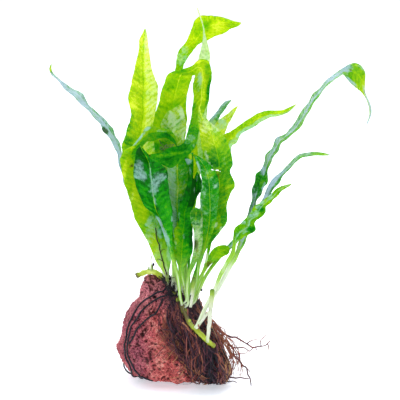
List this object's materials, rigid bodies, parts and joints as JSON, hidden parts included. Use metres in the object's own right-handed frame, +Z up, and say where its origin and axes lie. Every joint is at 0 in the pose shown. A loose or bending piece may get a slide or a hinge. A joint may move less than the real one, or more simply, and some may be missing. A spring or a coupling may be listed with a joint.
{
  "type": "java fern on lava rock",
  "caption": "Java fern with long wavy green fronds, a creeping stem and a mass of dark roots, tied with thread to a red-brown lava rock that stands on its flat foot.",
  "frame": {"origin": "middle of the rock's flat resting face, on the surface it stands on", "axes": "+Z up, -Y towards the front of the plant as it is usually shown, +X to the right seen from the front, where the longest fronds and loose roots reach"},
  "size_m": [0.2382, 0.1055, 0.2741],
  "materials": {
    "lava": "matte",
    "stem": "satin",
    "leaf": "satin",
    "leaf_young": "satin",
    "leaf_dark": "gloss",
    "root": "matte",
    "thread": "matte"
  },
  "bodies": {
    "root": {"lava_rock": "lava", "rhizome_left": "stem", "rhizome_main": "stem", "rhizome_back": "stem", "rhizome_front": "stem", "frond_far_left": "leaf_dark", "frond_tall_left": "leaf_young", "frond_low_left_arch": "leaf_young", "frond_folded_over": "leaf_young", "frond_top_right": "leaf_young", "frond_pale_spear": "leaf_young", "frond_right_centre": "leaf_young", "frond_front_dark": "leaf_dark", "frond_big_glossy": "leaf_dark", "frond_centre_back": "leaf_dark", "frond_front_centre": "leaf", "frond_grey_tip": "leaf_dark", "frond_dark_narrow": "leaf_dark", "frond_curled_olive": "leaf", "frond_pale_tip": "leaf_young", "frond_long_right": "leaf_dark", "frond_low_right": "leaf_young", "frond_second_right": "leaf_dark", "frond_third_right": "leaf", "frond_right_mid": "leaf_young", "frond_small_dark": "leaf_dark", "frond_light_spear": "leaf_young", "frond_yellow_back": "leaf_young", "stub_inner": "stem", "stub_front": "stem", "stub_left": "stem", "stub_left_small": "stem", "root_mat": "root", "root_branch_right": "root", "root_loop_right": "root", "root_low_right": "root", "root_floor": "root", "root_outer_right": "root", "root_upper_thin": "root", "thread_outer": "thread", "thread_inner": "thread", "thread_third": "thread", "thread_loose": "thread"}
  },
  "joints": []
}
